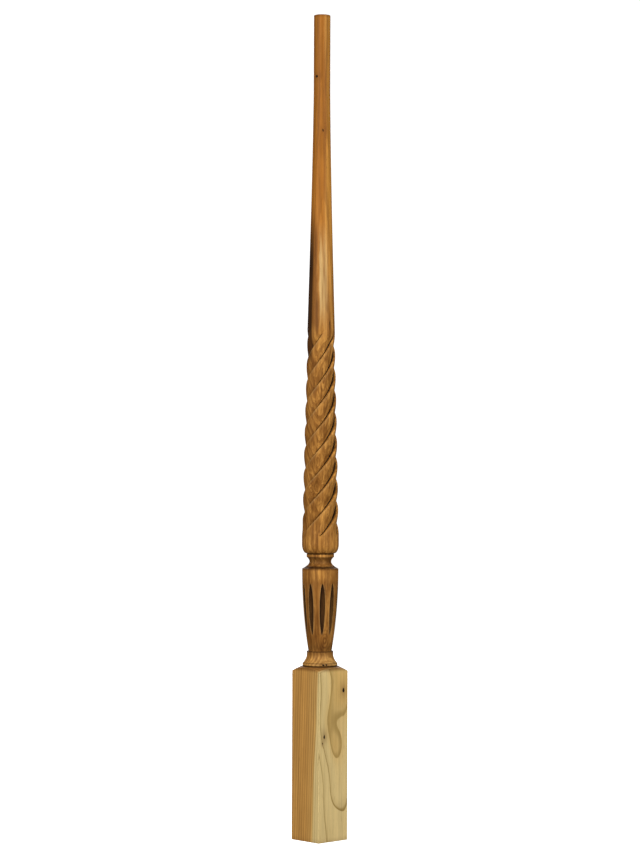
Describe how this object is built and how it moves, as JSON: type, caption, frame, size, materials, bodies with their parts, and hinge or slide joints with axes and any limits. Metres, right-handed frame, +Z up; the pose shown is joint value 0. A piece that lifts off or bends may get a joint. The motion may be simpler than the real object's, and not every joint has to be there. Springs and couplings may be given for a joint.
{
  "type": "twist baluster",
  "caption": "Turned wooden stair baluster with a rope-twist shaft that tapers to a round pin, a fluted barrel and a square block at its foot.",
  "frame": {"origin": "centre of the square foot, on its underside", "axes": "+Z up along the turning axis towards the pin, X and Y square to the faces of the block"},
  "size_m": [0.044, 0.044, 0.914],
  "materials": {
    "oiled_hardwood": "clear satin finish over knotty hardwood, with dark heartwood, pale sapwood and darkened hollows"
  },
  "bodies": {
    "root": {"baluster": "oiled_hardwood"}
  },
  "joints": []
}
